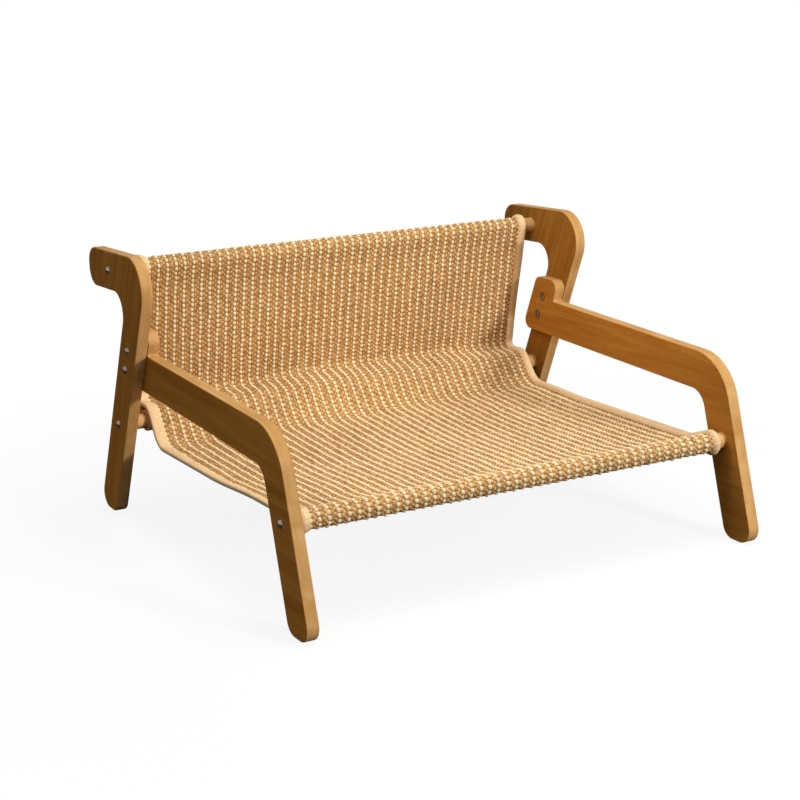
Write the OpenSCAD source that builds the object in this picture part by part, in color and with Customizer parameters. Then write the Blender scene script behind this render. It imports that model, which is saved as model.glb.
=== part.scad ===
// Cat hammock: a woven sling on three wooden rails, held between two frames of bolted boards.
// X runs across the hammock, Y from its front to its rear and Z up.
// The origin is on the floor, under the middle of the frame.

/* [Frame] */
// Width across the outer faces of the rear legs
frame_w = 500; // [420:5:620]
// Thickness of each side board
board_t = 12; // [10:0.5:18]
// Width of the legs, arms and hooks, measured across the board
board_w = 38; // [36:0.5:44]
// Distance on the floor between the middles of the front and rear feet
foot_span = 412; // [390:1:440]
// Rounding of the corners of the feet
foot_r = 14; // [6:0.5:15]

/* [Rear legs] */
// Lean of a rear leg from the vertical, its foot to the rear
rear_lean = 23.3; // [20:0.1:26]
// Height at which the middle lines of the leg and its hook cross
hook_z = 254.5; // [244:0.5:270]
// Droop of the hook towards its end
hook_droop = 3; // [0:0.5:6]
// Length of the hook from that crossing to its end
hook_l = 128; // [120:1:140]
// Bend radius on the outside of the hook
hook_outer_r = 32; // [20:1:40]
// Bend radius on the inside of the hook
hook_inner_r = 20; // [12:1:26]
// Rounding of the corners at the hook's end
hook_end_r = 17; // [8:0.5:17]

/* [Arms] */
// Lean of a front leg from the vertical, its foot to the front
front_lean = 17.3; // [14:0.1:20]
// Height at which the middle lines of the front leg and the arm cross
arm_z = 153; // [146:0.5:160]
// Rise of the arm towards the rear
arm_rise = 0.9; // [0:0.1:2]
// Bend radius on the outside of the arm
arm_outer_r = 52; // [24:1:56]
// Bend radius on the inside of the arm
arm_inner_r = 20; // [10:1:26]
// Height of the tab above the arm's top edge
tab_h = 23; // [20:0.5:30]
// Rounding of the tab's corners
tab_r = 9; // [4:0.5:10]
// Fillet where the tab meets the arm's top edge
notch_r = 2; // [1:0.5:3]

/* [Rails] */
// Diameter of the rails
rail_d = 15; // [13:0.5:18]
// Height of the front rail's axis
front_rail_z = 93.4; // [86:0.1:98]
// Height of the lower rail's axis
lower_rail_z = 97.8; // [92:0.1:104]
// Distance from the top rail's axis to the end of the hook
top_rail_inset = 54; // [44:1:60]

/* [Sling] */
// Thickness of the woven cloth
cloth_t = 2; // [1.5:0.1:2.5]
// Gap between the sling and the arm on each side
side_gap = 3; // [2:0.5:8]
// Clearance between the cloth and what it lies on
cloth_clear = 0.3; // [0.2:0.05:0.5]
// Width of the hems along the two sides
hem_w = 9.5; // [7:0.5:12]
// Thickness that a hem adds on the face of the cloth and round its edge
hem_t = 2.4; // [1.6:0.1:3]
// Thickness of the cloth sleeve on the lower rail
sleeve_t = 4; // [3:0.25:5]
// Distance from the top rail's axis to the top pocket's seam, along the back
seam_drop = 23.5; // [20:0.5:30]
// Distance of the cloth there, in front of the line from that axis to the crease
seam_front = 3.5; // [2:0.1:5]
// Bend radius of the cloth at the seam
seam_r = 14; // [8:1:20]
// Overlap of the top pocket's end with the back, below the seam
top_lap = 5; // [3:0.5:8]
// Overlap of the front pocket's end with the seat, behind the rail
front_lap = 34; // [30:0.5:36]
// Distance from the lower rail's axis back to the middle of the crease
crease_back = 12.5; // [10:0.5:16]
// Bend radius of the crease between back and seat
crease_r = 9; // [6:0.5:12]
// Distance from the lower rail's axis forward to the lowest part of the seat
dip_front = 43; // [41:1:60]
// Depth of the seat there, below the lower rail's axis
dip_drop = 17.2; // [12:0.1:20]
// Bend radius of the cloth there
dip_r = 26; // [20:1:30]
// Distance from the front rail's axis back to where the seat starts to rise
rise_back = 36; // [34:1:42]
// Depth of the seat there, below the front rail's axis
rise_drop = 3.2; // [1:0.1:5]
// Bend radius of the cloth there
rise_r = 18; // [14:1:22]

/* [Fasteners] */
// Diameter of the bolt shanks
bolt_d = 5; // [4:0.5:6]
// Clearance on the diameter of the bolt holes
bolt_clear = 0.4; // [0.2:0.1:0.8]
// Diameter of the domed bolt heads
bolt_head_d = 8; // [7:0.5:10]
// Height of the bolt heads
bolt_head_h = 2.6; // [2:0.1:3.2]
// Width of the hexagon sockets across their flats
socket_af = 3; // [2:0.5:4]
// Depth of the hexagon sockets
socket_depth = 1.5; // [1:0.1:1.8]
// Length of a rail bolt that is screwed into its insert
bolt_grip = 8; // [6:0.5:9]
// Clearance on the diameter between a bolt and its nut or insert
thread_clear = 0.1; // [0.05:0.05:0.2]
// Distance between the two bolts of an arm, along the leg
arm_bolt_pitch = 22; // [18:0.5:26]
// Height of the point midway between the bolts of an arm, above where front leg and arm cross
arm_bolt_rise = 15.5; // [11:0.5:21]
// Distance from the end of an arm bolt to the head of its nut
bolt_end_gap = 1.5; // [0.5:0.1:3]
// Diameter of the sleeve of an arm nut
nut_d = 7; // [6.5:0.5:9]
// Distance by which that sleeve stops short of the rear leg
nut_short = 2.5; // [1:0.5:4]
// How far the head of an arm nut reaches past its sleeve
nut_flange = 1; // [0.8:0.1:2]
// Thickness of the head of an arm nut
nut_head_t = 1.2; // [1:0.1:1.6]
// Width of the slot across that head
nut_slot_w = 1.2; // [0.8:0.1:1.6]
// Depth of that slot
nut_slot_depth = 0.7; // [0.4:0.1:0.7]
// Diameter of the threaded inserts in the ends of the rails
insert_d = 8; // [7:0.5:9]
// Length of the threaded inserts
insert_l = 14; // [10:0.5:20]

/* [Hidden] */

$fn = 96;
arc_step = 8;   // most degrees between two points on a bend of the cloth
cut = 1;        // how far a cutting shape runs past the face that it opens
arc_over = 0.005; // how far a corner's arc runs over its straight sides, to cross them cleanly
flat_end = 0.1; // least share of the board's width that stays flat at the end of a hook

board_wood = "#b8843f";
rail_wood = "#cfa468";
weave = "#cba873";
hem_cloth = "#dcbf90";
steel = "#8a8780";
brass = "#b8974a";

// Two-dimensional work is done on the side view: first number rearward, second upward,
// from the middle of the front foot on the floor.

function unit(v) = v / norm(v);
function left_of(v) = [-v.y, v.x];
function meet(p, u, q, v) = p + u * cross(q - p, v) / cross(u, v);

front_dir = [sin(front_lean), cos(front_lean)];
rear_dir = [-sin(rear_lean), cos(rear_lean)];
arm_dir = [cos(arm_rise), sin(arm_rise)];
hook_dir = [cos(hook_droop), -sin(hook_droop)];
floor_dir = [1, 0];

function on_front_leg(z) = [z * tan(front_lean), z];
function on_rear_leg(z) = [foot_span - z * tan(rear_lean), z];
function left_edge(p, dir) = p + left_of(dir) * board_w / 2;
function right_edge(p, dir) = p - left_of(dir) * board_w / 2;

front_foot = on_front_leg(0);
rear_foot = on_rear_leg(0);
knee = on_front_leg(arm_z);
crook = on_rear_leg(hook_z);
hook_end = crook + hook_dir * hook_l;

front_leg_front = left_edge(front_foot, front_dir);
front_leg_rear = right_edge(front_foot, front_dir);
rear_leg_front = left_edge(rear_foot, rear_dir);
rear_leg_rear = right_edge(rear_foot, rear_dir);
arm_top = left_edge(knee, arm_dir);
arm_bottom = right_edge(knee, arm_dir);
hook_top = left_edge(crook, hook_dir);
hook_bottom = right_edge(crook, hook_dir);

hook_round = min(hook_end_r, board_w * (1 - flat_end) / 2);
notch = meet(arm_top, arm_dir, rear_leg_front, rear_dir);
tab_top = notch + [0, tab_h];

// Corners of the two board outlines with their radii, anticlockwise
arm_corners = [
    [meet(front_leg_front, front_dir, front_foot, floor_dir), foot_r],
    [meet(front_leg_rear, front_dir, front_foot, floor_dir), foot_r],
    [meet(front_leg_rear, front_dir, arm_bottom, arm_dir), arm_inner_r],
    [meet(arm_bottom, arm_dir, rear_leg_rear, rear_dir), tab_r],
    [meet(tab_top, floor_dir, rear_leg_rear, rear_dir), tab_r],
    [meet(tab_top, floor_dir, rear_leg_front, rear_dir), tab_r],
    [notch, notch_r],
    [meet(arm_top, arm_dir, front_leg_front, front_dir), arm_outer_r]
];
leg_corners = [
    [meet(rear_leg_front, rear_dir, rear_foot, floor_dir), foot_r],
    [meet(rear_leg_rear, rear_dir, rear_foot, floor_dir), foot_r],
    [meet(rear_leg_rear, rear_dir, hook_bottom, hook_dir), hook_inner_r],
    [right_edge(hook_end, hook_dir), hook_round],
    [left_edge(hook_end, hook_dir), hook_round],
    [meet(hook_top, hook_dir, rear_leg_front, rear_dir), hook_outer_r]
];

// The round at corner i: its two ends, anticlockwise about its middle, its middle, and whether the
// corner stands out
function bend(corners, i) =
    let (
        n = len(corners),
        tip = corners[i][0],
        back = unit(corners[(i + n - 1) % n][0] - tip),
        ahead = unit(corners[(i + 1) % n][0] - tip),
        half_angle = acos(back * ahead) / 2,
        run = corners[i][1] / tan(half_angle),
        stands_out = cross(ahead, back) > 0
    )
    [
        tip + (stands_out ? back : ahead) * run,
        tip + (stands_out ? ahead : back) * run,
        tip + unit(back + ahead) * corners[i][1] / sin(half_angle),
        stands_out
    ];

// The side view is moved so that the frame's foremost and rearmost points lie evenly about Y = 0
foremost = bend(arm_corners, 0)[2].x - foot_r;
rearmost = bend(leg_corners, 4)[2].x + hook_round;
side_middle = (foremost + rearmost) / 2;

leg_out = frame_w / 2;
leg_in = leg_out - board_t;
arm_in = leg_in - board_t;
nut_l = board_t - nut_short;
nut_head_d = nut_d + 2 * nut_flange;

front_rail_at = on_front_leg(front_rail_z);
lower_rail_at = on_rear_leg(lower_rail_z);
top_rail_at = hook_end - hook_dir * top_rail_inset;
arm_bolts_at = [
    for (end = [-1, 1]) on_rear_leg(arm_z + arm_bolt_rise) + rear_dir * end * arm_bolt_pitch / 2
];

// The cloth is a belt over a row of rounds, each with its middle and its radius at the cloth's
// middle line. The radius is positive where the belt, followed from the top lap to the front lap,
// turns to its left.

sling_half = arm_in - side_gap;
cloth_half = sling_half - hem_t;
hem_from = sling_half - hem_w;
sleeve_in_r = rail_d / 2 + cloth_clear;
sleeve_out_r = sleeve_in_r + sleeve_t;
pocket_r = rail_d / 2 + cloth_clear + cloth_t / 2;
drape_r = sleeve_out_r + cloth_clear + cloth_t / 2;

top_round = [top_rail_at, pocket_r];
crease_round = [lower_rail_at + [crease_back, drape_r + crease_r], -crease_r];
back_dir = unit(crease_round[0] - top_rail_at);
seam_round = [
    top_rail_at + back_dir * seam_drop - left_of(back_dir) * (seam_front + seam_r),
    -seam_r
];
drape_round = [lower_rail_at, drape_r];
dip_round = [lower_rail_at + [-dip_front, dip_r - dip_drop], -dip_r];
rise_round = [front_rail_at + [rise_back, rise_r - rise_drop], -rise_r];
front_round = [front_rail_at, pocket_r];

// Normal, to the left, of the straight run of cloth between two rounds
function run_normal(a, b) =
    let (
        way = unit(b[0] - a[0]),
        share = (b[1] - a[1]) / norm(b[0] - a[0])
    )
    way * share + left_of(way) * sqrt(1 - share * share);

// Points on one round, with their normals, from one normal to another
function on_round(round, from, to) =
    let (
        turn = sign(round[1]),
        start = atan2(from.y, from.x),
        sweep = ((atan2(to.y, to.x) - start) * turn + 720) % 360,
        steps = max(1, ceil(sweep / arc_step))
    )
    [
        for (i = [0 : steps])
            let (angle = start + turn * sweep * i / steps, normal = [cos(angle), sin(angle)])
            [round[0] - normal * round[1], normal]
    ];

// Points along the cloth over a row of rounds, of which the first and the last are its bare ends
function belt(rounds) =
    let (last = len(rounds) - 1)
    [
        for (i = [0 : last])
            let (
                before = max(i, 1),
                after = min(i, last - 1),
                from = run_normal(rounds[before - 1], rounds[before]),
                to = run_normal(rounds[after], rounds[after + 1])
            )
            each i == 0 || i == last ? [[rounds[i][0], from]] : on_round(rounds[i], from, to)
    ];

// The laps lie against the rear of the back and the underside of the seat
lap_off = cloth_t + cloth_clear;
back_normal = run_normal(seam_round, crease_round);
top_lap_end = [seam_round[0] + back_normal * (seam_r + lap_off) - left_of(back_normal) * top_lap, 0];
lap_angle = asin((front_lap - rise_back) / rise_r);
front_lap_end = [rise_round[0] + [sin(lap_angle), -cos(lap_angle)] * (rise_r + lap_off), 0];

sling_belt = belt([
    top_lap_end, top_round, seam_round, crease_round, drape_round, dip_round, rise_round, front_round,
    front_lap_end
]);

// Shapes

// Outline with rounded corners, drawn as true arcs: what lies between a sharp corner and its arc
// is taken off where the corner stands out, and filled in where it is an inside corner
module rounded_outline(corners) {
    count = len(corners);

    module corner_rest(i) {
        arc = bend(corners, i);
        function pushed(p) = p + unit(p - arc[2]) * cut;
        difference() {
            polygon([arc[2], pushed(arc[0]), pushed(corners[i][0]), pushed(arc[1])]);
            translate(arc[2]) circle(r = corners[i][1] + arc_over);
        }
    }

    difference() {
        union() {
            polygon([for (corner = corners) corner[0]]);
            for (i = [0 : count - 1]) if (!bend(corners, i)[3]) corner_rest(i);
        }
        for (i = [0 : count - 1]) if (bend(corners, i)[3]) corner_rest(i);
    }
}

// Side-view shape drawn out across the hammock from x0 to x1
module across(x0, x1) {
    translate([x0, -side_middle, 0])
        rotate([90, 0, 90])
            linear_extrude(x1 - x0) children();
}

// Round bar or hole across the hammock at a point of the side view
module bar(at, x0, x1, d) {
    across_point(at, x0) cylinder(d = d, h = x1 - x0);
}

// Frame whose Z axis runs across the hammock, to +X, from x at a point of the side view
module across_point(at, x) {
    translate([x, at.x - side_middle, at.y]) rotate([0, 90, 0]) children();
}

// The child and its mirror image
module both_sides() {
    children();
    mirror([1, 0, 0]) children();
}

// Bolt with a domed head and a hexagon socket; its head bears on Z = 0 and its shank runs to +Z
module bolt(shank_l) {
    dome_r = (pow(bolt_head_d / 2, 2) + pow(bolt_head_h, 2)) / (2 * bolt_head_h);
    difference() {
        union() {
            cylinder(d = bolt_d, h = shank_l);
            intersection() {
                translate([0, 0, dome_r - bolt_head_h]) sphere(r = dome_r);
                translate([0, 0, -bolt_head_h]) cylinder(r = bolt_head_d, h = bolt_head_h);
            }
        }
        translate([0, 0, -bolt_head_h - cut])
            cylinder(d = socket_af / cos(30), h = socket_depth + cut, $fn = 6);
    }
}

// Sleeve nut with a slotted head; its head bears on Z = 0 and its sleeve runs to -Z
module sleeve_nut() {
    difference() {
        union() {
            cylinder(d = nut_head_d, h = nut_head_t);
            translate([0, 0, -nut_l]) cylinder(d = nut_d, h = nut_l);
        }
        translate([0, 0, -nut_l - cut]) cylinder(d = bolt_d + thread_clear, h = nut_l + cut);
        translate([-nut_head_d, -nut_slot_w / 2, nut_head_t - nut_slot_depth])
            cube([2 * nut_head_d, nut_slot_w, nut_slot_depth + cut]);
    }
}

module rail(at, half) {
    color(rail_wood)
        difference() {
            bar(at, -half, half, rail_d);
            both_sides() bar(at, half - insert_l, half + cut, insert_d);
        }
}

module rail_inserts(at, half) {
    color(brass)
        both_sides()
            difference() {
                bar(at, -half, -half + insert_l, insert_d);
                bar(at, -half - cut, -half + insert_l + cut, bolt_d + thread_clear);
            }
}

module rail_bolts(at, half) {
    color(steel)
        both_sides()
            across_point(at, -half - board_t) bolt(board_t + bolt_grip);
}

// Side view of the sling with its two pockets, from one depth behind its middle line to one on
// its face
module sling_profile(back, face) {
    last = len(sling_belt) - 1;
    polygon(concat(
        [for (p = sling_belt) p[0] + p[1] * back],
        [for (i = [last : -1 : 0]) sling_belt[i][0] - sling_belt[i][1] * face]
    ));
}

// Pieces

module left_rear_leg() {
    color(board_wood)
        difference() {
            across(-leg_out, -leg_in) rounded_outline(leg_corners);
            for (at = concat([top_rail_at, lower_rail_at], arm_bolts_at))
                bar(at, -leg_out - cut, -leg_in + cut, bolt_d + bolt_clear);
        }
}

module right_rear_leg() {
    mirror([1, 0, 0]) left_rear_leg();
}

module left_arm() {
    color(board_wood)
        difference() {
            across(-leg_in, -arm_in) rounded_outline(arm_corners);
            bar(front_rail_at, -leg_in - cut, -arm_in + cut, bolt_d + bolt_clear);
            for (at = arm_bolts_at)
                bar(at, -leg_in - cut, -arm_in + cut, nut_d + bolt_clear);
        }
}

module right_arm() {
    mirror([1, 0, 0]) left_arm();
}

module top_rail() {
    rail(top_rail_at, leg_in);
}

module lower_rail() {
    rail(lower_rail_at, leg_in);
}

module front_rail() {
    rail(front_rail_at, arm_in);
}

module top_rail_inserts() {
    rail_inserts(top_rail_at, leg_in);
}

module lower_rail_inserts() {
    rail_inserts(lower_rail_at, leg_in);
}

module front_rail_inserts() {
    rail_inserts(front_rail_at, arm_in);
}

module top_rail_bolts() {
    rail_bolts(top_rail_at, leg_in);
}

module lower_rail_bolts() {
    rail_bolts(lower_rail_at, leg_in);
}

module front_rail_bolts() {
    rail_bolts(front_rail_at, arm_in);
}

module left_arm_bolts() {
    color(steel)
        for (at = arm_bolts_at)
            across_point(at, -leg_out) bolt(2 * board_t - bolt_end_gap);
}

module right_arm_bolts() {
    mirror([1, 0, 0]) left_arm_bolts();
}

module left_arm_nuts() {
    color(steel)
        for (at = arm_bolts_at)
            across_point(at, -arm_in) sleeve_nut();
}

module right_arm_nuts() {
    mirror([1, 0, 0]) left_arm_nuts();
}

module lower_rail_sleeve() {
    color(weave)
        difference() {
            bar(lower_rail_at, -sling_half, sling_half, 2 * sleeve_out_r);
            bar(lower_rail_at, -sling_half - cut, sling_half + cut, 2 * sleeve_in_r);
        }
}

module sling() {
    color(weave) across(-cloth_half, cloth_half) sling_profile(cloth_t / 2, cloth_t / 2);
}

module left_hem() {
    color(hem_cloth)
        difference() {
            across(-sling_half, -hem_from) sling_profile(cloth_t / 2, cloth_t / 2 + hem_t);
            across(-cloth_half, -hem_from + cut) sling_profile(cloth_t / 2 + cloth_clear / 3, cloth_t / 2);
        }
}

module right_hem() {
    mirror([1, 0, 0]) left_hem();
}

left_rear_leg();
right_rear_leg();
left_arm();
right_arm();
top_rail();
lower_rail();
front_rail();
top_rail_inserts();
lower_rail_inserts();
front_rail_inserts();
top_rail_bolts();
lower_rail_bolts();
front_rail_bolts();
left_arm_bolts();
right_arm_bolts();
left_arm_nuts();
right_arm_nuts();
lower_rail_sleeve();
sling();
left_hem();
right_hem();
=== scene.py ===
import math

import bmesh
import bpy
import numpy as np
from mathutils import Matrix, Vector


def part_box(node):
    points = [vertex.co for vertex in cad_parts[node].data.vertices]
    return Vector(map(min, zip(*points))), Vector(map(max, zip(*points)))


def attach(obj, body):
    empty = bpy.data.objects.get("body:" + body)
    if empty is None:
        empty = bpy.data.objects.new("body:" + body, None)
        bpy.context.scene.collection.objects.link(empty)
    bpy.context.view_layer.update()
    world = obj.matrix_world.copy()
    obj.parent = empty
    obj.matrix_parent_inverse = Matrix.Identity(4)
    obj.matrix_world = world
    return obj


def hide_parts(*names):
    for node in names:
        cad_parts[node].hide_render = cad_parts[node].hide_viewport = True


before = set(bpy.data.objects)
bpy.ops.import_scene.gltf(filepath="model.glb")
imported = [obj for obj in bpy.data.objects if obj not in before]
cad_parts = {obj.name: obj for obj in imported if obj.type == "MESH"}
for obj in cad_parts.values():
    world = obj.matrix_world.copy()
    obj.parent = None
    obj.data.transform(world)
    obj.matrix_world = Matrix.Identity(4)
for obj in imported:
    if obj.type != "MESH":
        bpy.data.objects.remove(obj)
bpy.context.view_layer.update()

# Camera: a long lens a little above the arms, to the left of the front, as the photograph was taken.
# Its place and angles were solved from the two matching side frames.
camera_place = Vector((-0.8195, -1.4207, 0.5693))
camera_azimuth = math.radians(-29.262)
camera_elevation = math.radians(15.178)
camera_roll = math.radians(-0.701)
sensor_width = 36.0
focal_share = 1753 / 800

camera_data = bpy.data.cameras.new("photo_camera")
camera_data.sensor_width = sensor_width
camera_data.lens = focal_share * sensor_width
camera = bpy.data.objects.new("photo_camera", camera_data)
bpy.context.scene.collection.objects.link(camera)
camera_back = Vector((
    math.sin(camera_azimuth) * math.cos(camera_elevation),
    -math.cos(camera_azimuth) * math.cos(camera_elevation),
    math.sin(camera_elevation),
))
level_right = Vector((math.cos(camera_azimuth), math.sin(camera_azimuth), 0))
level_up = camera_back.cross(level_right)
camera_right = level_right * math.cos(camera_roll) + level_up * math.sin(camera_roll)
camera_up = level_up * math.cos(camera_roll) - level_right * math.sin(camera_roll)
camera.matrix_world = Matrix.Translation(camera_place) @ Matrix(
    (camera_right, camera_up, camera_back)
).transposed().to_4x4()
bpy.context.scene.camera = camera
bpy.context.scene.view_settings.view_transform = "Standard"


# Studio: a white paper floor that takes the shadow of the hammock, under a white surround.
# Softboxes hang over the front and to the right, so the left outer faces lie in the shade.
floor_half = 6.0
shadow_from = 0.3
shadow_reach = 0.75
paper_white = (1.0, 1.0, 1.0, 1.0)
paper_bounce = (0.06, 0.057, 0.054, 1.0)
surround_level = 0.43
shadow_share = 0.12


def new_material(name):
    """A node material that holds only its output node."""
    made = bpy.data.materials.new(name)
    made.use_nodes = True
    made.node_tree.nodes.clear()
    made.node_tree.nodes.new("ShaderNodeOutputMaterial")
    return made


def add_node(tree, kind, sockets=None, **settings):
    """A node of that kind. A socket is given a value, or is linked where it is given an output."""
    made = tree.nodes.new(kind)
    for setting, value in settings.items():
        setattr(made, setting, value)
    for name, value in (sockets or {}).items():
        if isinstance(value, bpy.types.NodeSocket):
            tree.links.new(value, made.inputs[name])
        else:
            made.inputs[name].default_value = value
    return made


def seen_directly(tree):
    """1 for the rays that show the surround as a backdrop, which are the camera's own."""
    return add_node(tree, "ShaderNodeLightPath").outputs["Is Camera Ray"]


paper = new_material("white_paper")
tree = paper.node_tree
lit_paper = add_node(tree, "ShaderNodeBsdfDiffuse", {"Color": paper_white})
plain_white = add_node(tree, "ShaderNodeEmission", {"Color": paper_white, "Strength": 1.0})
from_middle = add_node(tree, "ShaderNodeVectorMath", {
    0: add_node(tree, "ShaderNodeTexCoord").outputs["Object"]}, operation="LENGTH")
away = add_node(tree, "ShaderNodeMapRange", {
    "Value": from_middle.outputs["Value"], "From Min": shadow_from, "From Max": shadow_reach,
    "To Min": 1 - shadow_share, "To Max": 1.0}, interpolation_type="SMOOTHSTEP")
backdrop = add_node(tree, "ShaderNodeMixShader", {
    0: away.outputs[0], 1: lit_paper.outputs[0], 2: plain_white.outputs[0]})
dim_paper = add_node(tree, "ShaderNodeBsdfDiffuse", {"Color": paper_bounce})
paper_seen = add_node(tree, "ShaderNodeMixShader", {
    0: seen_directly(tree), 1: dim_paper.outputs[0], 2: backdrop.outputs[0]})
tree.links.new(paper_seen.outputs[0], tree.nodes["Material Output"].inputs["Surface"])

bpy.ops.object.select_all(action="DESELECT")
bpy.ops.mesh.primitive_plane_add(size=2 * floor_half)
floor = bpy.context.object
floor.name = "paper_floor"
floor.data.materials.append(paper)

world = bpy.data.worlds.new("white_surround")
bpy.context.scene.world = world
world.use_nodes = True
tree = world.node_tree
tree.nodes.clear()
surround_strength = add_node(tree, "ShaderNodeMapRange", {
    "Value": seen_directly(tree), "To Min": surround_level, "To Max": 1.0})
surround = add_node(tree, "ShaderNodeBackground", {
    "Color": paper_white, "Strength": surround_strength.outputs[0]})
add_node(tree, "ShaderNodeOutputWorld", {"Surface": surround.outputs[0]})


def softbox(name, place, aim, width, height, power):
    """A soft lamp of that size, aimed at a point."""
    data = bpy.data.lights.new(name, "AREA")
    data.shape = "RECTANGLE"
    data.size = width
    data.size_y = height
    data.energy = power
    lamp = bpy.data.objects.new(name, data)
    lamp.location = place
    lamp.rotation_euler = (Vector(aim) - Vector(place)).to_track_quat("-Z", "Y").to_euler()
    lamp.visible_camera = False
    bpy.context.scene.collection.objects.link(lamp)


softbox("overhead_softbox", (0.15, -0.25, 1.5), (0, 0, 0.1), 0.7, 0.7, 8.2)
softbox("front_softbox", (0.66, -1.79, 0.68), (0, 0, 0.12), 0.25, 0.25, 24)
softbox("inside_softbox", (-0.10, -0.10, 0.42), (0.2, 0, 0.12), 0.15, 0.15, 0.6)


# Boards: two rear legs with hooked tops and two bent arms that run down into the front legs.
# Each is cut from 12 mm laminated beech with an oiled face veneer, and its outline edges are eased.
board_names = ["left_rear_leg", "right_rear_leg", "left_arm", "right_arm"]
edge_round = 0.0013
edge_steps = 3
rear_lean = math.radians(23.3)
face_deep = (0.385, 0.145, 0.0188, 1.0)
face_pale = (0.54, 0.235, 0.0395, 1.0)
# The right rear leg's face veneer is a darker copy of the same beech: painted shade on that board.
shaded_face_deep = (0.285, 0.107, 0.0135, 1.0)
shaded_face_pale = (0.400, 0.174, 0.0285, 1.0)
edge_deep = (0.515, 0.272, 0.088, 1.0)
edge_pale = (0.64, 0.373, 0.147, 1.0)
face_figure = (0.16, 0.011, 0.011)
edge_figure = (0.05, 0.02, 0.02)
edge_layers = (0.0013, 0.4, 0.4)
doubled_within = 1e-6
flat_within = math.radians(0.3)
smooth_within = math.radians(35)
flat_face_from = 0.9
edge_face_to = 0.3
veneer_from = 0.7
bore_reach = 0.0043
nut_radius = 0.0045
grain_of_arm = (0, 0, math.radians(90))
grain_of_leg = (0, rear_lean - math.radians(90), -math.radians(90))


def ramp(tree, value, stops):
    """Colours along a value, from (place, colour) pairs."""
    made = add_node(tree, "ShaderNodeValToRGB", {"Fac": value})
    points = made.color_ramp.elements
    while len(points) < len(stops):
        points.new(0.5)
    for point, (place, colour) in zip(points, stops):
        point.position = place
        point.color = colour
    return made.outputs["Color"]


def textured(tree, vector, scale, detail=4.0, distortion=0.0):
    """Noise with features as large as one over its scale, on that vector."""
    return add_node(tree, "ShaderNodeTexNoise", {
        "Vector": vector, "Scale": scale, "Detail": detail, "Distortion": distortion}).outputs["Fac"]


def laid(tree, turn, size):
    """Object coordinates in a frame that is turned and stretched to that size of feature."""
    return add_node(tree, "ShaderNodeMapping", {
        "Vector": add_node(tree, "ShaderNodeTexCoord").outputs["Object"], "Rotation": turn, "Scale": size},
        vector_type="TEXTURE").outputs["Vector"]


def blended(tree, share, one, other, way="MIX"):
    """Two colours mixed, multiplied or otherwise blended by a share."""
    return add_node(tree, "ShaderNodeMix", {0: share, 6: one, 7: other},
                    data_type="RGBA", blend_type=way).outputs[2]


def finish_material(made, colour, roughness, height, bump_strength, bump_depth, specular=0.2, metallic=0.0):
    """Ends a material in one shader with that colour, roughness and bump."""
    tree = made.node_tree
    bump = add_node(tree, "ShaderNodeBump", {
        "Height": height, "Strength": bump_strength, "Distance": bump_depth})
    shader = add_node(tree, "ShaderNodeBsdfPrincipled", {
        "Base Color": colour, "Roughness": roughness, "Normal": bump.outputs["Normal"],
        "Specular IOR Level": specular, "Metallic": metallic})
    tree.links.new(shader.outputs[0], tree.nodes["Material Output"].inputs["Surface"])
    return made


def spread(tree, value, low, high):
    """A value from 0 to 1 spread from low to high."""
    return add_node(tree, "ShaderNodeMapRange", {
        "Value": value, "To Min": low, "To Max": high}).outputs[0]


def wood(name, deep, pale, turn, ring_size, layers=None):
    """Oiled beech: soft long figure, fine dark flecks and open pores along the grain."""
    made = new_material(name)
    tree = made.node_tree
    figure = textured(tree, laid(tree, turn, ring_size), 1.0, 5.0, 0.7)
    colour = ramp(tree, figure, [(0.32, deep), (0.68, pale)])
    fleck_size = (0.006, 0.00045, 0.00045)
    flecks = textured(tree, laid(tree, turn, fleck_size), 1.0, 2.0)
    fleck_tone = ramp(tree, flecks, [(0.30, (0.72, 0.66, 0.60, 1)), (0.46, (1, 1, 1, 1))])
    colour = blended(tree, 0.55, colour, fleck_tone, "MULTIPLY")
    if layers:
        veneers = textured(tree, laid(tree, (0, 0, 0), layers), 1.0, 1.0)
        veneer_tone = ramp(tree, veneers, [(0.40, (0.86, 0.82, 0.76, 1)), (0.60, (1.05, 1.04, 1.0, 1))])
        colour = blended(tree, 0.6, colour, veneer_tone, "MULTIPLY")
    roughness = spread(tree, figure, 0.42, 0.58)
    return finish_material(made, colour, roughness, flecks, 0.18, 0.0004, 0.03)


arm_face = wood("arm_face_veneer", face_deep, face_pale, grain_of_arm, face_figure)
leg_face = wood("leg_face_veneer", face_deep, face_pale, grain_of_leg, face_figure)
# Painted shade: the right rear leg gets the darker copy of the face veneer.
shaded_leg_face = wood("shaded_leg_face_veneer", shaded_face_deep, shaded_face_pale, grain_of_leg, face_figure)
face_of = {
    "left_rear_leg": leg_face, "right_rear_leg": shaded_leg_face, "left_arm": arm_face, "right_arm": arm_face}
board_edge = wood("board_edge", edge_deep, edge_pale, grain_of_arm, edge_figure, edge_layers)


def only(piece):
    """Makes a piece the one selected and active object."""
    bpy.ops.object.select_all(action="DESELECT")
    piece.select_set(True)
    bpy.context.view_layer.objects.active = piece


def copied_node(node, name):
    """A merged copy of a CAD node's mesh, in an object of its own."""
    piece = bpy.data.objects.new(name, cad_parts[node].data.copy())
    bpy.context.scene.collection.objects.link(piece)
    only(piece)
    bpy.ops.object.mode_set(mode="EDIT")
    bpy.ops.mesh.select_all(action="SELECT")
    bpy.ops.mesh.remove_doubles(threshold=doubled_within)
    bpy.ops.mesh.customdata_custom_splitnormals_clear()
    bpy.ops.mesh.dissolve_limited(angle_limit=flat_within)
    bpy.ops.object.mode_set(mode="OBJECT")
    return piece


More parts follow.
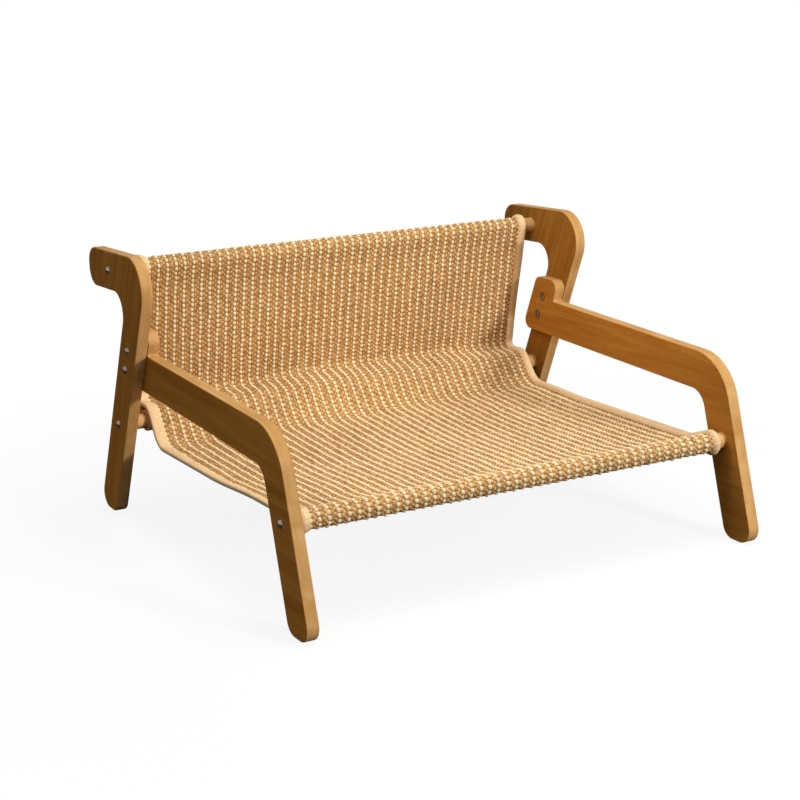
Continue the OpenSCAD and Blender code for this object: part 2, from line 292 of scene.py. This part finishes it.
bore_axes = []
for rail_name in ("top_rail", "lower_rail", "front_rail"):
    low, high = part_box(rail_name)
    bore_axes.append(((low + high) / 2).yz)
low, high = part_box("left_arm_nuts")
bore_axes.append(Vector((low.y + nut_radius, high.z - nut_radius)))
bore_axes.append(Vector((high.y - nut_radius, low.z + nut_radius)))
for board_name in board_names:
    board = copied_node(board_name, board_name + "_board")
    bpy.ops.object.mode_set(mode="EDIT")
    bpy.ops.mesh.select_all(action="DESELECT")
    shape = bmesh.from_edit_mesh(board.data)
    for edge in shape.edges:
        flat = [face for face in edge.link_faces if abs(face.normal.x) > flat_face_from]
        round_about = [face for face in edge.link_faces if abs(face.normal.x) < edge_face_to]
        middle = ((edge.verts[0].co + edge.verts[1].co) / 2).yz
        at_bore = min((middle - axis).length for axis in bore_axes) < bore_reach
        edge.select = len(flat) == 1 and len(round_about) == 1 and not at_bore
    bmesh.update_edit_mesh(board.data)
    bpy.ops.mesh.bevel(offset=edge_round, segments=edge_steps, clamp_overlap=True, loop_slide=False)
    bpy.ops.object.mode_set(mode="OBJECT")
    board.data.materials.clear()
    board.data.materials.append(face_of[board_name])
    board.data.materials.append(board_edge)
    for face in board.data.polygons:
        face.material_index = 0 if abs(face.normal.x) > veneer_from else 1
    bpy.ops.object.shade_smooth_by_angle(angle=smooth_within)
    bpy.ops.object.modifier_add(type="WEIGHTED_NORMAL")
    board.modifiers[-1].keep_sharp = True
    bpy.ops.object.modifier_apply(modifier=board.modifiers[-1].name)
    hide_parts(board_name)
    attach(board, "root")


# Rails: three 15 mm beech dowels, turned smooth and oiled, that hold the side frames apart.
# Their grain runs from end to end, and they stay as the frame gives them.
rail_names = ["top_rail", "lower_rail", "front_rail"]
rail_deep = (0.56, 0.305, 0.105, 1.0)
rail_pale = (0.71, 0.420, 0.170, 1.0)
rail_figure = (0.12, 0.006, 0.006)
grain_across = (0, 0, 0)
rail_wood = wood("rail_beech", rail_deep, rail_pale, grain_across, rail_figure)


def dress(node, material):
    """Gives a CAD node one finish all over."""
    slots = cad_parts[node].data.materials
    slots.clear()
    slots.append(material)


for rail_name in rail_names:
    dress(rail_name, rail_wood)


# Fasteners: steel bolts with domed heads and hex sockets, sleeve nuts inside the arms' tabs,
# and brass inserts screwed into the rail ends. The bolts are bright, and the nuts have a duller finish.
bolt_names = [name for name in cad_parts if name.endswith("_bolts")]
nut_names = [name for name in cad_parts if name.endswith("_nuts")]
insert_names = [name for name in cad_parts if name.endswith("_inserts")]


def metal(name, dark, bright, rough_low, rough_high):
    """Turned metal: a tone that wanders a little, with fine marks from handling."""
    made = new_material(name)
    tree = made.node_tree
    patches = textured(tree, laid(tree, (0, 0, 0), (0.004, 0.004, 0.004)), 1.0, 4.0)
    marks = textured(tree, laid(tree, (0, 0, 0), (0.0008, 0.0002, 0.0008)), 1.0, 2.0)
    colour = ramp(tree, patches, [(0.35, dark), (0.70, bright)])
    return finish_material(made, colour, spread(tree, patches, rough_low, rough_high), marks, 0.06, 0.0001,
                           0.5, 1.0)


bolt_steel = metal("bolt_steel", (0.42, 0.40, 0.37, 1), (0.74, 0.71, 0.67, 1), 0.14, 0.24)
nut_steel = metal("nut_steel", (0.26, 0.22, 0.16, 1), (0.42, 0.37, 0.29, 1), 0.26, 0.38)
insert_brass = metal("insert_brass", (0.52, 0.36, 0.12, 1), (0.66, 0.49, 0.20, 1), 0.28, 0.42)
for bolt_name in bolt_names:
    dress(bolt_name, bolt_steel)
for nut_name in nut_names:
    dress(nut_name, nut_steel)
for insert_name in insert_names:
    dress(insert_name, insert_brass)


# Pocket of the lower rail: a facing of the sling's own cloth, sewn to the rear of the back
# above the crease. It passes under the rail and up again below the sling, so that the rail does not wear it.
# It is woven like the sling: columns of pale chain stitch stand up between columns of tan blocks.
column_pitch = 0.00932
row_pitch = 0.00507
cloth_thick = 0.002
cloth_clear = 0.0003
sleeve_thick = 0.004
sleeve_wall = 0.0022
first_column = -0.2108
column_count = 46
ground_half = 0.0003
ground_inset = 0.004
joined_within = 2e-5
pale_stitch = {
    "half_width": 0.00196, "over": 0.0017, "under": 0.0007, "pinch": 0.32, "fullness": 0.55, "slant": 0.08,
    "sink": 0.00070, "wander": 0.00020, "swelling": 0.14, "sides": 8, "cuts": 3}
tan_stitch = {
    "half_width": 0.00130, "over": 0.00085, "under": 0.0006, "pinch": 0.34, "fullness": 0.60, "slant": 0.16,
    "sink": 0.00065, "wander": 0.00022, "swelling": 0.30, "sides": 6, "cuts": 2}
tan_apart = 0.00129
facing_pale_stitch = dict(pale_stitch, over=0.00125)
facing_tan_stitch = dict(tan_stitch, half_width=0.0024)
pale_yarn_deep = (0.76, 0.555, 0.305, 1.0)
pale_yarn_light = (0.92, 0.750, 0.490, 1.0)
tan_yarn_deep = (0.49, 0.275, 0.102, 1.0)
tan_yarn_light = (0.79, 0.505, 0.230, 1.0)
# The ground sheet closes the cloth between the stitches; its dark colour is painted shade, the shade down in
# those gaps.
gap_shade_deep = (0.26, 0.134, 0.045, 1.0)
gap_shade_light = (0.41, 0.232, 0.086, 1.0)
chance = np.random.default_rng(11)
crease_back = 0.0125
crease_bend = 0.009
facing_rise = 0.012
facing_end = math.radians(40)
path_step = 0.0002


def rail_middle(node):
    """A rail's axis as (y, z), and its radius."""
    low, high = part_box(node)
    return np.array(((low.y + high.y) / 2, (low.z + high.z) / 2)), (high.z - low.z) / 2


def yarn(name, deep, light, turns, strands):
    """Spun yarn: every stitch a little different in tone, with the twist of its strands on the surface."""
    made = new_material(name)
    tree = made.node_tree
    stitches = textured(tree, laid(tree, (0, 0, 0), (0.004, 0.004, 0.004)), 1.0, 2.0)
    areas = textured(tree, laid(tree, (0, 0, 0), (0.08, 0.08, 0.08)), 1.0, 2.0)
    fibres = textured(tree, laid(tree, (0, 0, 0), (0.0005, 0.0005, 0.0005)), 1.0, 3.0)
    colour = ramp(tree, stitches, [(0.30, deep), (0.66, light)])
    area_tone = ramp(tree, areas, [(0.35, (0.90, 0.88, 0.85, 1)), (0.65, (1.06, 1.05, 1.03, 1))])
    colour = blended(tree, 0.7, colour, area_tone, "MULTIPLY")
    fibre_tone = ramp(tree, fibres, [(0.32, (0.74, 0.68, 0.60, 1)), (0.56, (1.04, 1.03, 1.0, 1))])
    colour = blended(tree, 0.6, colour, fibre_tone, "MULTIPLY")
    round_and_along = add_node(tree, "ShaderNodeUVMap", uv_map="yarn").outputs["UV"]
    wound = add_node(tree, "ShaderNodeMapping", {
        "Vector": round_and_along, "Scale": (strands, turns, 1)}).outputs["Vector"]
    twist = add_node(tree, "ShaderNodeTexWave", {
        "Vector": wound, "Scale": 0.5, "Distortion": 0.6, "Detail": 1.0}, bands_direction="DIAGONAL")
    height = add_node(tree, "ShaderNodeMath", {
        0: twist.outputs["Fac"], 1: fibres}, operation="ADD").outputs[0]
    return finish_material(made, colour, spread(tree, fibres, 0.78, 0.95), height, 0.35, 0.0003, 0.05)


pale_yarn = yarn("pale_yarn", pale_yarn_deep, pale_yarn_light, 3.0, 2.0)
tan_yarn = yarn("tan_yarn", tan_yarn_deep, tan_yarn_light, 3.0, 3.0)
ground_yarn_painted_shade = yarn("ground_yarn_painted_shade", gap_shade_deep, gap_shade_light, 300.0, 200.0)


def one_stitch(name, length, form):
    """One stitch of a column as a short open tube, full in its middle and pinched and sunk at its ends."""
    bpy.ops.object.select_all(action="DESELECT")
    bpy.ops.mesh.primitive_cylinder_add(
        vertices=form["sides"], radius=1, depth=length, end_fill_type="NOTHING",
        rotation=(math.radians(-90), 0, 0))
    stitch = bpy.context.object
    stitch.name = name
    stitch.data.uv_layers[0].name = "yarn"
    bpy.ops.object.transform_apply(location=True, rotation=True, scale=True)
    bpy.ops.object.mode_set(mode="EDIT")
    bpy.ops.mesh.select_all(action="DESELECT")
    tube = bmesh.from_edit_mesh(stitch.data)
    for edge in tube.edges:
        edge.select = abs(edge.verts[0].co.y - edge.verts[1].co.y) > length / 2
    bmesh.update_edit_mesh(stitch.data)
    bpy.ops.mesh.subdivide(number_cuts=form["cuts"])
    bpy.ops.object.mode_set(mode="OBJECT")
    for corner in stitch.data.vertices:
        share = corner.co.y / length + 0.5
        puff = max(0.0, math.sin(math.pi * share)) ** form["fullness"]
        full = form["pinch"] + (1 - form["pinch"]) * puff
        lean = math.sin(2 * math.pi * share) * form["slant"]
        thick = form["over"] if corner.co.z > 0 else form["under"]
        corner.co.x = (corner.co.x * full + lean) * form["half_width"]
        corner.co.z = corner.co.z * full * thick - form["sink"] * (1 - puff)
    return stitch


def repeated(piece, count, step, merged):
    """Copies of a piece in a row, in one mesh."""
    only(piece)
    bpy.ops.object.modifier_add(type="ARRAY")
    row = piece.modifiers[-1]
    row.count = count
    row.use_relative_offset = False
    row.use_constant_offset = True
    row.constant_offset_displace = step
    row.use_merge_vertices = merged
    row.merge_threshold = joined_within
    bpy.ops.object.modifier_apply(modifier=row.name)


def flat_places(piece):
    """The corners of a piece's mesh, one row each."""
    places = np.empty(len(piece.data.vertices) * 3)
    piece.data.vertices.foreach_get("co", places)
    return places.reshape(-1, 3)


def put_places(piece, places):
    """Moves the corners of a piece's mesh to those places."""
    piece.data.vertices.foreach_set("co", places.ravel())
    piece.data.update()


def uneven(piece, first, row_length, form):
    """Lets each column of stitches wander a little and its stitches differ, as hand-fed yarn does."""
    places = flat_places(piece)
    column = np.rint((places[:, 0] - first) / column_pitch).astype(int)
    along = places[:, 1] / row_length
    row = np.maximum(along, 0).astype(int)
    phase = chance.uniform(0, 2 * math.pi, (column.max() + 1, 2))[column]
    luck = chance.normal(0, 1, (column.max() + 1, row.max() + 1, 3))[column, row]
    inside = np.abs(np.sin(math.pi * along))
    drift = np.sin(along * 0.71 + phase[:, 0]) + 0.7 * np.sin(along * 0.23 + phase[:, 1])
    places[:, 0] += form["wander"] * (0.7 * drift + luck[:, 0] * inside)
    places[:, 1] += form["wander"] * luck[:, 1] * inside
    places[:, 2] *= 1 + form["swelling"] * np.clip(luck[:, 2], -2, 1.5) * inside
    put_places(piece, places)


def columns(name, first, count, length, form, material, later=0):
    """Columns of stitches side by side on the flat cloth, which may begin half a row later."""
    rows = round(length / row_pitch)
    row_length = length / rows
    piece = one_stitch(name, row_length, form)
    repeated(piece, rows - later, (0, row_length, 0), True)
    bpy.ops.object.mode_set(mode="EDIT")
    bpy.ops.mesh.select_all(action="SELECT")
    bpy.ops.mesh.fill_holes(sides=form["sides"])
    bpy.ops.object.mode_set(mode="OBJECT")
    repeated(piece, count, (column_pitch, 0, 0), False)
    piece.data.transform(Matrix.Translation((first, row_length / 2, 0)))
    uneven(piece, first, row_length, form)
    piece.data.transform(Matrix.Translation((0, later * row_length / 2, 0)))
    piece.data.materials.append(material)
    return piece


def ground_cloth(name, half, length, level):
    """The close ground between the stitches, as a thin flat sheet at that level. Its dark colour is painted
    shade for the gaps between the stitches.
    """
    bpy.ops.object.select_all(action="DESELECT")
    bpy.ops.mesh.primitive_grid_add(
        x_subdivisions=column_count + 1, y_subdivisions=2 * round(length / row_pitch), size=1)
    piece = bpy.context.object
    piece.name = name
    piece.data.uv_layers[0].name = "yarn"
    piece.data.transform(
        Matrix.Translation((0, length / 2, level)) @ Matrix.Diagonal((2 * half, length, 1, 1)))
    piece.data.materials.append(ground_yarn_painted_shade)
    return piece


def left_of(way):
    """A direction in the side view turned a quarter to the left."""
    return np.array((-way[1], way[0]))


def run_normal(one, other):
    """The direction square to the straight run of cloth from one round to the next."""
    between = other[0] - one[0]
    reach = math.hypot(*between)
    way = between / reach
    share = (other[1] - one[1]) / reach
    return way * share + left_of(way) * math.sqrt(1 - share * share)


def cloth_line(rounds):
    """Points and normals along a cloth that is drawn round rounds in turn, as (middle, signed radius)."""
    normals = [run_normal(one, other) for one, other in zip(rounds, rounds[1:])]
    points = [rounds[0][0]]
    squares = [normals[0]]
    for (middle, radius), arriving, leaving in zip(rounds[1:-1], normals, normals[1:]):
        start = math.atan2(arriving[1], arriving[0])
        way = math.copysign(1, radius)
        sweep = ((math.atan2(leaving[1], leaving[0]) - start) * way) % (2 * math.pi)
        steps = max(2, math.ceil(abs(radius) * sweep / path_step))
        for angle in start + way * sweep * np.linspace(0, 1, steps + 1):
            square = np.array((math.cos(angle), math.sin(angle)))
            points.append(middle - square * radius)
            squares.append(square)
    points.append(rounds[-1][0])
    squares.append(normals[-1])
    return np.array(points), np.array(squares)


def measured_path(line, faces):
    """A path of cloth for hang(): its points and outward normals by the length along it."""
    steps = np.hypot(*np.diff(line, axis=0).T)
    return {
        "along": np.concatenate(([0], np.cumsum(steps))), "y": line[:, 0], "z": line[:, 1],
        "face_y": faces[:, 0], "face_z": faces[:, 1]}


def hang(piece, path, settle=None):
    """Moves a flat piece onto the cloth's path: x stays, y is the length along it and z the height."""
    across, along, height = flat_places(piece).T
    y, z, face_y, face_z = [
        np.interp(along, path["along"], path[key]) for key in ("y", "z", "face_y", "face_z")]
    drop = 0
    if settle:
        across, drop = settle(across, along)
    put_places(piece, np.stack((across, y + height * face_y, z + height * face_z - drop), axis=1))


def thicken(piece, half):
    """Gives a hung sheet its thickness, to both sides of its middle."""
    only(piece)
    bpy.ops.object.modifier_add(type="SOLIDIFY")
    wall = piece.modifiers[-1]
    wall.thickness = 2 * half
    wall.offset = 0
    bpy.ops.object.modifier_apply(modifier=wall.name)


def cloth_piece(piece):
    """Ends a cloth piece: it is shaded smooth and rides on the hammock."""
    only(piece)
    bpy.ops.object.shade_smooth()
    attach(piece, "root")


lower_at, rail_radius = rail_middle("lower_rail")
top_at = rail_middle("top_rail")[0]
front_at = rail_middle("front_rail")[0]
sleeve_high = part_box("lower_rail_sleeve")[1]
sleeve_inside = rail_radius + cloth_clear
weave_radius = sleeve_inside + sleeve_wall - facing_pale_stitch["over"]
weave_depth = weave_radius - sleeve_inside
drape_radius = sleeve_inside + sleeve_thick + cloth_clear + cloth_thick / 2
crease_round = (lower_at + np.array((crease_back, drape_radius + crease_bend)), -crease_bend)
rearward = left_of(top_at - crease_round[0]) * -1
rearward = rearward / math.hypot(*rearward)
facing_off = cloth_thick / 2 + cloth_clear + weave_depth
facing_top = crease_round[0] + rearward * (crease_bend + facing_off) + left_of(rearward) * facing_rise
facing_ahead = np.array((math.cos(facing_end), -math.sin(facing_end)))
facing_last = lower_at + left_of(facing_ahead) * weave_radius + facing_ahead * path_step
sleeve_path = measured_path(*cloth_line([
    (facing_top, 0), (crease_round[0], -crease_bend - facing_off),
    (lower_at, -weave_radius), (facing_last, 0)]))
sleeve_length = float(sleeve_path["along"][-1])

sleeve = ground_cloth("rail_sleeve_cloth", sleeve_high.x - ground_inset, sleeve_length, -weave_depth / 2)
sleeve_chains = columns(
    "rail_sleeve_chains", first_column, column_count, sleeve_length, facing_pale_stitch, pale_yarn)
sleeve_blocks = columns(
    "rail_sleeve_blocks", first_column + column_pitch / 2, column_count, sleeve_length, facing_tan_stitch,
    tan_yarn)
for piece in (sleeve, sleeve_chains, sleeve_blocks):
    hang(piece, sleeve_path)
    cloth_piece(piece)
thicken(sleeve, weave_depth / 2)
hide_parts("lower_rail_sleeve")


# Sling: one length of heavy woven cloth. Its ends are sewn into pockets round the top and front rails,
# and between them it hangs down the back, folds forward over the lower rail and makes the seat.
# It is woven flat here, stitch by stitch, and then hung on the rails, a little askew and sagging.
seam_drop = 0.0235
seam_front = 0.0035
seam_bend = 0.014
top_lap = 0.005
front_lap = 0.034
dip_front = 0.043
dip_drop = 0.0172
dip_bend = 0.026
rise_back = 0.036
rise_drop = 0.0032
rise_bend = 0.018
seat_sag = 0.0077
sag_rise = (-0.175, -0.110)
sag_front = -0.098
sag_run = 0.245
left_sag = 0.0041
left_rise = (-0.10, 0.0)
left_fade = (0.118, 0.168)
right_lift = 0.0022
right_rise = (0.03, 0.112)
right_fade = (0.137, 0.176)
crease_lift = 0.0042
crease_rise = (-0.018, 0.0)
crease_fade = (0.004, 0.045)
lift_across = (-0.7, -0.1)
skew_across = (-0.223, -0.205, 0.208, 0.223)
front_skew = (-0.0015, -0.0045, -0.0075, -0.0060)
skew_from = 0.123
top_flare = 0.0026
flare_rise = (0.16, 0.07)
flare_across = (0.210, 0.223)
pocket_slack = 0.0001
pocket_ease = 0.0006
pale_fullness = 0.20
tan_fullness = 0.42
roll_fade = (0.001, 0.006)

pocket_radius = sleeve_inside + pocket_ease
top_round = (top_at, pocket_radius)
down_the_back = (crease_round[0] - top_at) / math.hypot(*(crease_round[0] - top_at))
seam_round = (
    top_at + down_the_back * seam_drop - left_of(down_the_back) * (seam_front + seam_bend), -seam_bend)
drape_round = (lower_at, drape_radius)
dip_round = (lower_at + np.array((-dip_front, dip_bend - dip_drop)), -dip_bend)
rise_round = (front_at + np.array((rise_back, rise_bend - rise_drop)), -rise_bend)
front_round = (front_at - np.array((0, pocket_slack)), pocket_radius + pocket_slack)
back_normal = run_normal(seam_round, crease_round)
lap_off = cloth_thick + cloth_clear
top_end = (seam_round[0] + back_normal * (seam_bend + lap_off) - left_of(back_normal) * top_lap, 0)
lap_angle = math.asin((front_lap - rise_back) / rise_bend)
lap_way = np.array((math.sin(lap_angle), -math.cos(lap_angle)))
front_end = (rise_round[0] + lap_way * (rise_bend + lap_off), 0)
line, squares = cloth_line([
    top_end, top_round, seam_round, crease_round, drape_round,
    dip_round, rise_round, front_round, front_end])
sling_path = measured_path(line[::-1], -squares[::-1])
sling_length = float(sling_path["along"][-1])
hem_low, hem_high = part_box("right_hem")
crease_bottom = crease_round[0] - np.array((0, crease_bend))
from_bottom = np.hypot(sling_path["y"] - crease_bottom[0], sling_path["z"] - crease_bottom[1])
crease_along = sling_path["along"][np.argmin(from_bottom)]


def swell_between(value, low, high):
    """0 up to low, 1 from high on, and a smooth rise between them."""
    share = np.clip((value - low) / (high - low), 0, 1)
    return share * share * (3 - 2 * share)


def settled(across, along):
    """Where the cloth lies across the hammock, and how far it hangs below a flat seat.
    Its middle and its left side sag, its right side stands high by the crease,
    and its front is pulled to the left."""
    depth = np.interp(along, sling_path["along"], sling_path["y"])
    share = np.clip(across / hem_high.x, -1, 1)
    behind_front = np.clip((depth - sag_front) / sag_run, 0, 1)
    middle = seat_sag * swell_between(depth, *sag_rise) * (1 - behind_front ** 2)
    left = left_sag * swell_between(depth, *left_rise) * (1 - swell_between(depth, *left_fade))
    right = right_lift * swell_between(depth, *right_rise) * (1 - swell_between(depth, *right_fade))
    drop = middle * (1 - share ** 2) ** 0.75 + left * (1 - share) / 2 - right * (1 + share) / 2
    from_crease = along - crease_along
    creased = swell_between(from_crease, *crease_rise) * (1 - swell_between(from_crease, *crease_fade))
    drop = drop - crease_lift * creased * (1 - share ** 4) * swell_between(share, *lift_across)
    ahead = np.clip((skew_from - depth) / (skew_from - front_at[0]), 0, 1)
    upward = swell_between(along, sling_length - flare_rise[0], sling_length - flare_rise[1])
    flare = top_flare * upward * swell_between(across, *flare_across)
    return across + ahead * np.interp(across, skew_across, front_skew) + flare, drop


def fuller_on_roll(piece, first, fullness):
    """Spreads the stitches of each column where the cloth is wrapped round the front rail."""
    places = flat_places(piece)
    middle = first + np.rint((places[:, 0] - first) / column_pitch) * column_pitch
    y, z = [np.interp(places[:, 1], sling_path["along"], sling_path[key]) for key in ("y", "z")]
    off_rail = np.hypot(y - front_at[0], z - front_at[1]) - pocket_radius
    on_roll = 1 - swell_between(off_rail, *roll_fade)
    places[:, 0] = middle + (places[:, 0] - middle) * (1 + fullness * on_roll)
    put_places(piece, places)


left_columns = (column_count + 1) // 2
right_columns = column_count - left_columns
middle_column = first_column + left_columns * column_pitch
sling = ground_cloth("sling_cloth", (hem_low.x + hem_high.x) / 2, sling_length, 0)
left_chains = columns("sling_chains_left", first_column, left_columns, sling_length, pale_stitch, pale_yarn)
right_chains = columns(
    "sling_chains_right", middle_column, right_columns, sling_length, pale_stitch, pale_yarn)
fuller_on_roll(left_chains, first_column, pale_fullness)
fuller_on_roll(right_chains, middle_column, pale_fullness)
fillings = []
for name, first, count in (
        ("sling_filling_left", first_column, left_columns),
        ("sling_filling_right", middle_column, right_columns)):
    beside = first + column_pitch / 2
    for number, apart, later in (("_one", -tan_apart, 0), ("_two", tan_apart, 1)):
        filling = columns(name + number, beside + apart, count, sling_length, tan_stitch, tan_yarn, later)
        fuller_on_roll(filling, beside + apart, tan_fullness)
        fillings.append(filling)
for piece in (sling, left_chains, right_chains, *fillings):
    hang(piece, sling_path, settled)
    cloth_piece(piece)
thicken(sling, ground_half)
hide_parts("sling")


# Hems: the long sides of the sling, and the ends of the lower rail's pocket, folded twice and sewn flat.
# Each is a smooth rounded band with a stitched margin; round the rails it is gathered into standing folds.
hem_thick = 0.0024
hem_roll = 0.0073
left_margin = 0.0048
right_margin = 0.0006
margin_thick = 0.0007
hem_ridge = 0.0042
ridge_cuts = 7
across_cuts = 9
left_fold = 0.014
right_fold = 0.030
straight_fold = 0.006
# Painted shade: the right hem is painted darker where it runs up the back, above the crease.
back_shade_tone = 0.21
back_shade_from = crease_along + 0.022
back_shade_full = crease_along + 0.052
end_round = 0.80
margin_rise = 0.002
seam_fade = (0.0002, 0.0011)
fold_shade = 0.70
gather_fade = (0.0016, 0.005)
binding_proud = 0.0006
hem_corner = 0.0021
hem_corner_steps = 5
hem_deep = (0.60, 0.395, 0.195, 1.0)
hem_light = (0.88, 0.640, 0.370, 1.0)
painted_shade_tint = (0.48, 0.35, 0.20, 1.0)


def plain_cloth(name, deep, light):
    """Close plain cloth: a fine speckle of threads, soft changes of tone, and painted shade from a point
    attribute, down in its folds and where a band lies on the back.
    """
    made = new_material(name)
    tree = made.node_tree
    threads = textured(tree, laid(tree, (0, 0, 0), (0.0006, 0.0006, 0.0006)), 1.0, 2.0)
    areas = textured(tree, laid(tree, (0, 0, 0), (0.03, 0.03, 0.03)), 1.0, 2.0)
    colour = ramp(tree, threads, [(0.28, deep), (0.62, light)])
    area_tone = ramp(tree, areas, [(0.35, (0.90, 0.87, 0.83, 1)), (0.65, (1.04, 1.03, 1.02, 1))])
    colour = blended(tree, 0.6, colour, area_tone, "MULTIPLY")
    painted_shade = add_node(tree, "ShaderNodeAttribute", attribute_name="painted_shade").outputs["Fac"]
    fold_tone = ramp(tree, painted_shade, [(0.10, painted_shade_tint), (0.42, (1, 1, 1, 1))])
    colour = blended(tree, 1.0, colour, fold_tone, "MULTIPLY")
    return finish_material(made, colour, spread(tree, threads, 0.80, 0.95), threads, 0.30, 0.0003, 0.05)


hem_cloth = plain_cloth("hem_cloth", hem_deep, hem_light)


def select_edges(band, chosen):
    """Selects the edges of a band in edit mode that a test picks by their two ends."""
    form = bmesh.from_edit_mesh(band.data)
    for edge in form.edges:
        edge.select = chosen(edge.verts[0].co, edge.verts[1].co)
    bmesh.update_edit_mesh(band.data)


def hem_band(name, side, margin, path, bottom, depth, gathered, pocket_fold, shaded_on_back):
    """A folded band of cloth along one side of a flat cloth, sewn down by a margin on its inner side.
    Its folds stand up where it is gathered. A band marked for it is painted darker where it lies on the
    back, as painted shade."""
    width = hem_roll + margin
    length = float(path["along"][-1])
    count = round(length / hem_ridge)
    pitch = length / count
    bpy.ops.object.select_all(action="DESELECT")
    bpy.ops.mesh.primitive_cube_add(size=1)
    band = bpy.context.object
    band.name = name
    band.data.transform(Matrix.Diagonal((width, pitch, depth, 1)))
    bpy.ops.object.mode_set(mode="EDIT")
    bpy.ops.mesh.select_all(action="DESELECT")
    bpy.ops.mesh.select_mode(type="FACE")
    form = bmesh.from_edit_mesh(band.data)
    for face in form.faces:
        face.select = abs(face.normal.y) > 0.9
    bmesh.update_edit_mesh(band.data)
    bpy.ops.mesh.delete(type="ONLY_FACE")
    bpy.ops.mesh.select_mode(type="EDGE")
    select_edges(band, lambda one, other: abs(one.y - other.y) > pitch / 2)
    bpy.ops.mesh.bevel(offset=hem_corner, segments=hem_corner_steps, clamp_overlap=True)
    select_edges(band, lambda one, other: abs(one.x - other.x) > width / 3)
    bpy.ops.mesh.subdivide(number_cuts=across_cuts)
    select_edges(band, lambda one, other: abs(one.y - other.y) > pitch / 2)
    bpy.ops.mesh.subdivide(number_cuts=ridge_cuts)
    bpy.ops.object.mode_set(mode="OBJECT")
    repeated(band, count, (0, pitch, 0), True)
    across, along, height = flat_places(band).T
    along = along + pitch / 2
    outward = across * side + width / 2
    in_folds = np.interp(along, path["along"], gathered)
    valley = 0.5 + 0.5 * np.cos(2 * math.pi * along / pitch)
    at_margin = cloth_thick + margin_thick
    top = at_margin + (depth - at_margin) * swell_between(outward, margin / 2, margin + margin_rise)
    ending = np.clip(outward / width * 2 - 1, 0, 1)
    top = top * (1 - in_folds * (1 - np.sqrt(1 - end_round * ending ** 2)))
    top = top * (1 - (straight_fold + (pocket_fold - straight_fold) * in_folds) * valley * 2)
    across = across + side * (hem_high.x - width / 2)
    put_places(band, np.stack((across, along, bottom + (height / depth + 0.5) * top), axis=1))
    # Painted shade: the colour darkens down in the valleys of the gathered folds and in dashes along the
    # foot of the roll by the margin.
    seam = 1 - swell_between(np.abs(outward - margin), *seam_fade)
    painted_shade = band.data.attributes.new("painted_shade", "FLOAT", "POINT")
    in_shade = 1 - np.maximum(in_folds * fold_shade, seam) * valley ** 3
    # Painted shade on the back of a marked band goes into the same point attribute as the folds' painted
    # shade.
    back_shade = 1 - (1 - back_shade_tone) * shaded_on_back * swell_between(along, back_shade_from, back_shade_full) * (1 - in_folds)
    painted_shade.data.foreach_set("value", np.minimum(in_shade, back_shade))
    only(band)
    bpy.ops.object.mode_set(mode="EDIT")
    bpy.ops.mesh.select_all(action="SELECT")
    bpy.ops.mesh.fill_holes(sides=0)
    bpy.ops.object.mode_set(mode="OBJECT")
    band.data.materials.append(hem_cloth)
    return band


sling_line = np.stack((sling_path["y"], sling_path["z"]), axis=1)
from_rails = np.minimum(np.hypot(*(sling_line - top_at).T), np.hypot(*(sling_line - front_at).T))
in_pocket = 1 - swell_between(from_rails, pocket_radius + gather_fade[0], pocket_radius + gather_fade[1])
hem_depth = cloth_thick + hem_thick
left_hem = hem_band(
    "left_hem_band", -1, left_margin, sling_path, -pocket_ease, hem_depth, in_pocket, left_fold, 0)
right_hem = hem_band(
    "right_hem_band", 1, right_margin, sling_path, -pocket_ease, hem_depth, in_pocket, right_fold, 1)
for piece, node_name in ((left_hem, "left_hem"), (right_hem, "right_hem")):
    hang(piece, sling_path, settled)
    cloth_piece(piece)
    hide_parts(node_name)
plain = np.zeros(len(sleeve_path["along"]))
binding_depth = sleeve_wall + binding_proud
left_binding = hem_band(
    "left_sleeve_hem", -1, left_margin, sleeve_path, -weave_depth, binding_depth, plain, left_fold, 0)
right_binding = hem_band(
    "right_sleeve_hem", 1, right_margin, sleeve_path, -weave_depth, binding_depth, plain, right_fold, 0)
for piece in (left_binding, right_binding):
    hang(piece, sleeve_path)
    cloth_piece(piece)
